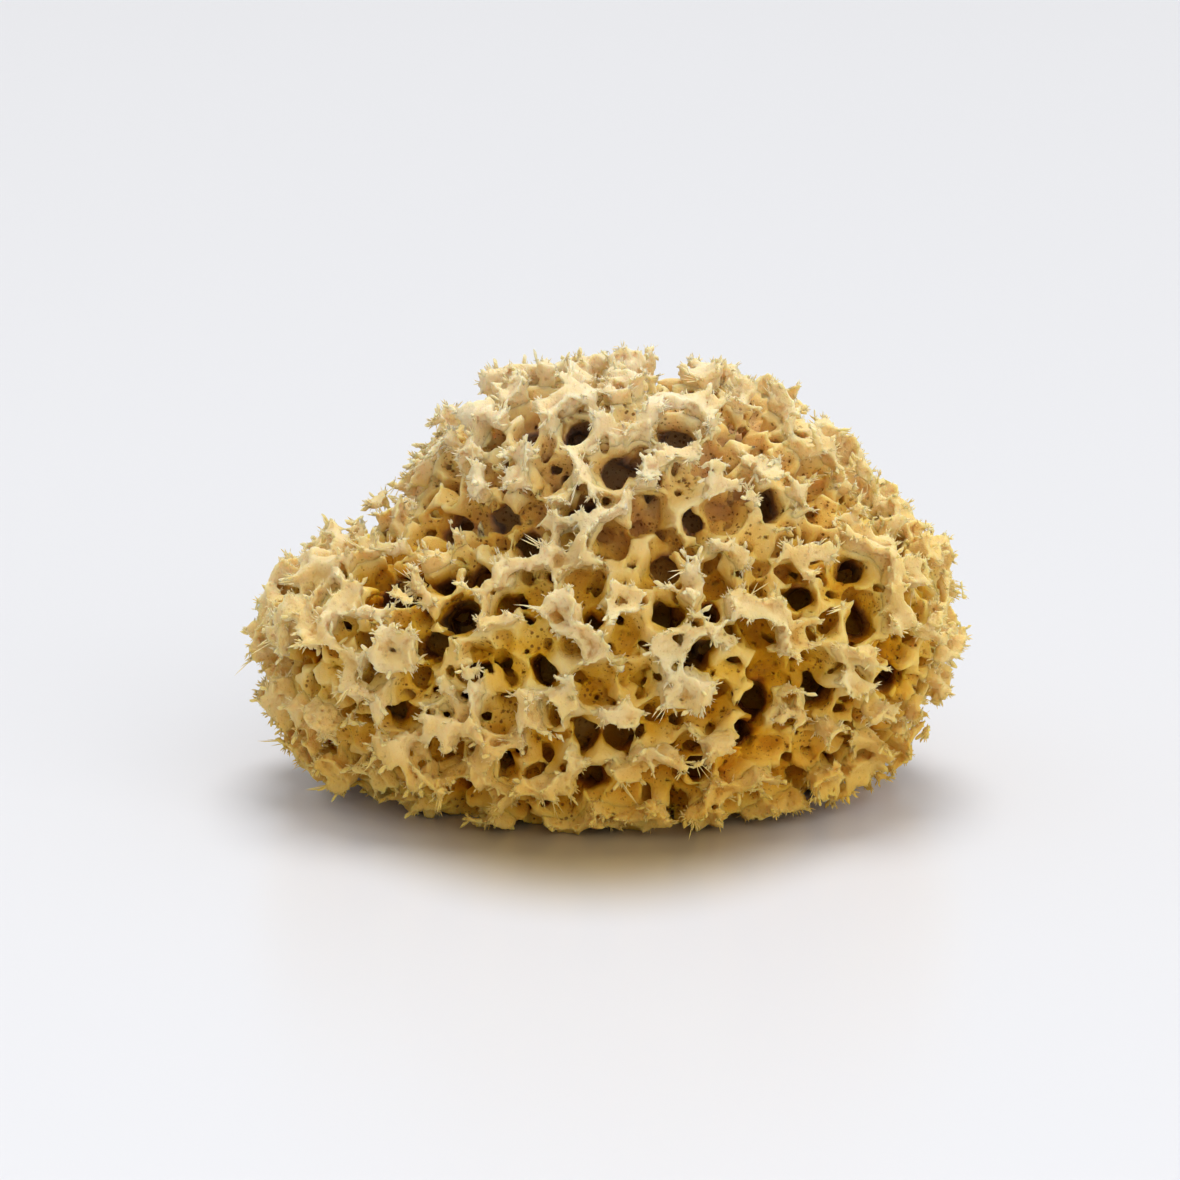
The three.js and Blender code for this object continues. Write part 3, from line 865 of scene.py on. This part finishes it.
def skeletonMaterial(mottle):
    material = bpy.data.materials.new("spongeSkeleton")
    material.use_nodes = True
    tree = material.node_tree
    shader = tree.nodes["Principled BSDF"]
    place = objectPlace(tree)
    under = addNode(tree, "ShaderNodeAttribute", attribute_name="under").outputs["Fac"]
    paintedShadeDepth = addNode(tree, "ShaderNodeAttribute", attribute_name="paintedShadeDepth").outputs["Fac"]
    bulge = addNode(tree, "ShaderNodeAttribute", attribute_name="bulge").outputs["Fac"]

    # the sponge's own tone by depth, with painted shade growing darker deeper in
    stops = finishLook["depthColorsAndShade"]
    shallow, deep = stops[0][0], stops[-1][0]
    colors = addNode(tree, "ShaderNodeValToRGB")
    band = colors.color_ramp
    while len(band.elements) < len(stops):
        band.elements.new(0.5)
    for element, (depth, color) in zip(band.elements, stops):
        element.position = (depth - shallow) / (deep - shallow)
        element.color = (*color, 1.0)
    wobble = ramp(tree, noise(tree, place, 3.0, 2.0), 0.3, 0.7, -0.8, 0.8, "LINEAR")
    depth = mathNode(tree, "ADD", paintedShadeDepth, wobble)
    feed(tree, colors.inputs[0], ramp(tree, depth, shallow, deep, 0.0, 1.0, "LINEAR"))
    color = colors.outputs[0]

    onPlate = ramp(tree, under, 0.5, -3.5)
    crest = mathNode(tree, "MULTIPLY", ramp(tree, bulge, 0.1, 0.75), onPlate)
    crest = mathNode(tree, "MULTIPLY", crest, 0.65)
    color = mixed(tree, "MIX", color, finishLook["crestColor"], crest)
    # painted shade in the crevices between what stands out
    creviceShade = ramp(tree, bulge, -0.12, -0.7)
    creviceShade = mathNode(tree, "MULTIPLY", creviceShade, 0.55)
    color = mixed(tree, "MIX", color, finishLook["creviceShadeColor"], creviceShade)
    mottled = tree.nodes.new("ShaderNodeGroup")
    mottled.node_tree = mottle
    for name, value in (("Color", color), ("Place", place), ("Patch Size", 8.0), ("Strength", 0.8)):
        feed(tree, mottled.inputs[name], value)
    color = mottled.outputs[0]

    color = withPaintedLightAndRightTint(tree, color, place)

    # clusters of pinholes in the walls, painted as dark dots of shade, with a small dent in the bump
    cluster = ramp(tree, noise(tree, place, 5.5, 1.0), 0.40, 0.52)
    walls = ramp(tree, under, -3.0, 0.0, 0.25, 1.0)
    walls = mathNode(tree, "MULTIPLY", walls, ramp(tree, bulge, 0.5, 0.1))
    cluster = mathNode(tree, "MULTIPLY", cluster, walls)
    wide = dots(tree, place, finishLook["pinholeCell"], finishLook["pinholeRadius"], 0.1)
    wide = mathNode(tree, "MULTIPLY", wide, cluster)
    fine = dots(tree, place, finishLook["fineCell"], finishLook["fineRadius"], 0.06)
    fine = mathNode(tree, "MULTIPLY", fine, walls)
    holes = mathNode(tree, "MAXIMUM", wide, mathNode(tree, "MULTIPLY", fine, 0.6))
    pinholeShade = mathNode(tree, "MULTIPLY", holes, 0.85)
    color = mixed(tree, "MIX", color, finishLook["pinholeShadeColor"], pinholeShade)
    feed(tree, shader.inputs["Base Color"], color)

    felt = noise(tree, place, 0.55, 3.0, 0.65)
    strands = noise(tree, vectorNode(tree, "MULTIPLY", place, (1.0, 1.0, 0.3)), 0.4, 1.0)
    relief = mathNode(tree, "MULTIPLY", felt, 0.34)
    relief = mathNode(tree, "ADD", relief, mathNode(tree, "MULTIPLY", strands, 0.16))
    relief = mathNode(tree, "SUBTRACT", relief, mathNode(tree, "MULTIPLY", holes, 0.5))
    bump = addNode(tree, "ShaderNodeBump", inputs={
        "Strength": 0.8, "Distance": 0.001, "Height": relief})
    feed(tree, shader.inputs["Normal"], bump.outputs[0])
    feed(tree, shader.inputs["Roughness"], ramp(tree, felt, 0.3, 0.7, 0.62, 0.85, "LINEAR"))
    shader.inputs["Specular IOR Level"].default_value = 0.13
    shader.inputs["Subsurface Weight"].default_value = 0.8
    shader.inputs["Subsurface Radius"].default_value = (1.0, 0.72, 0.42)
    shader.inputs["Subsurface Scale"].default_value = 0.0022
    return material


def fibreMaterial(mottle):
    material = bpy.data.materials.new("spongeFibre")
    material.use_nodes = True
    tree = material.node_tree
    shader = tree.nodes["Principled BSDF"]
    mottled = tree.nodes.new("ShaderNodeGroup")
    mottled.node_tree = mottle
    place = objectPlace(tree)
    fill = {"Place": place, "Patch Size": 5.0, "Strength": 0.7}
    fill["Color"] = (*finishLook["fibreColor"], 1.0)
    for name, value in fill.items():
        feed(tree, mottled.inputs[name], value)
    feed(tree, shader.inputs["Base Color"], withPaintedLightAndRightTint(tree, mottled.outputs[0], place))
    shader.inputs["Roughness"].default_value = 0.55
    shader.inputs["Specular IOR Level"].default_value = 0.4
    shader.inputs["Subsurface Weight"].default_value = 0.5
    shader.inputs["Subsurface Radius"].default_value = (1.0, 0.6, 0.25)
    shader.inputs["Subsurface Scale"].default_value = 0.001
    return material


# floor, light and camera

stageLook = {
    "floorColor": (0.71, 0.715, 0.74),
    # painted shadow and reflection on the floor: its colour, middle and size
    "paintedShadowColor": (0.38, 0.30, 0.17),
    "paintedShadowAt": (-3.0, -25.0, 0.0),
    "paintedShadowSize": (54.0, 68.0, 1.0),
    "floorRoughness": 0.3,
    # where each light stands, its strength and how wide it is in degrees
    "keyLight": ((0.05, 0.28, 1.0), 1.98, 34),
    "frontLight": ((0.55, -1.0, 0.4), 1.85, 80),
    "roomStrength": (0.16, 0.56),
    "cameraAway": 0.70,
    "lens": 108.0,
    "lookAt": (-0.0042, 0.0, 0.0385),
}


def buildStage():
    mesh = bpy.data.meshes.new("floor")
    reach = 8.0
    corners = [(-reach, -reach, 0), (reach, -reach, 0), (reach, reach, 0), (-reach, reach, 0)]
    mesh.from_pydata(corners, [], [(0, 1, 2, 3)])
    floor = bpy.data.objects.new("floor", mesh)
    bpy.context.collection.objects.link(floor)
    material = bpy.data.materials.new("paleFloor")
    material.use_nodes = True
    shader = material.node_tree.nodes["Principled BSDF"]
    # painted shadow and warm reflection of the sponge on the floor in front of its foot
    tree = material.node_tree
    place = vectorNode(tree, "SUBTRACT", objectPlace(tree), stageLook["paintedShadowAt"])
    away = vectorNode(tree, "LENGTH", vectorNode(tree, "DIVIDE", place, stageLook["paintedShadowSize"]))
    paintedShadow = ramp(tree, away, 1.0, 0.4)
    color = mixed(tree, "MIX", stageLook["floorColor"], stageLook["paintedShadowColor"], paintedShadow)
    feed(tree, shader.inputs["Base Color"], color)
    shader.inputs["Roughness"].default_value = stageLook["floorRoughness"]
    shader.inputs["Specular IOR Level"].default_value = 0.5
    mesh.materials.append(material)


def sunLight(name, place, strength, spread):
    light = bpy.data.lights.new(name, "SUN")
    light.energy = strength
    light.angle = math.radians(spread)
    lamp = bpy.data.objects.new(name, light)
    lamp.rotation_euler = (-Vector(place)).to_track_quat("-Z", "Y").to_euler()
    bpy.context.collection.objects.link(lamp)


def buildLights():
    sunLight("keyLight", *stageLook["keyLight"])
    sunLight("frontLight", *stageLook["frontLight"])
    world = bpy.data.worlds.new("studio")
    world.use_nodes = True
    tree = world.node_tree
    background = tree.nodes["Background"]
    background.inputs["Color"].default_value = (0.99, 0.99, 1.0, 1.0)
    # bright above, behind and at both sides, dim in front
    direction = addNode(tree, "ShaderNodeTexCoord").outputs["Generated"]
    behind = vectorNode(tree, "DOT_PRODUCT", direction, (0.0, 0.6, 0.8))
    aside = mathNode(tree, "MULTIPLY", mathNode(tree, "ABSOLUTE", xyz(tree, direction)[0]), 0.45)
    openness = mathNode(tree, "ADD", behind, aside)
    strength = ramp(tree, openness, -0.5, 0.6, *stageLook["roomStrength"])
    feed(tree, background.inputs["Strength"], strength)
    bpy.context.scene.world = world
    bpy.context.scene.view_settings.view_transform = "Standard"


def buildCamera():
    camera = bpy.data.cameras.new("camera")
    camera.lens = stageLook["lens"]
    camera.sensor_width = 36.0
    holder = bpy.data.objects.new("camera", camera)
    target = Vector(stageLook["lookAt"])
    backwards = Vector((0, -math.cos(frontLean), math.sin(frontLean)))
    holder.location = target + backwards * stageLook["cameraAway"]
    holder.rotation_euler = (-backwards).to_track_quat("-Z", "Y").to_euler()
    bpy.context.collection.objects.link(holder)
    bpy.context.scene.camera = holder


buildCamera()
buildLights()
buildStage()
skin = skinGroup()
mottle = mottleGroup()
skeleton = skeletonTree(skin)
walls = skeletonMaterial(mottle)
body = skeletonPiece("body", skeleton, walls, False, skeletonShape["bodyFaces"])
starPlates = skeletonPiece("starPlates", skeleton, walls, True, skeletonShape["plateFaces"])
fibres = fibreTree(skin)
fibreFinish = fibreMaterial(mottle)
tufts = fibrePiece("tufts", fibres, tuftShape, starPlates, fibreFinish)
down = fibrePiece("down", fibres, downShape, starPlates, fibreFinish)
strands = fibrePiece("strands", fibres, strandShape, starPlates, fibreFinish)
conules = fibrePiece("conules", fibres, conuleShape, starPlates, walls)
for piece in (body, starPlates, tufts, down, strands, conules):
    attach(piece, "root")
    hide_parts("sponge")

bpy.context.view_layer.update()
report("all pieces in place")
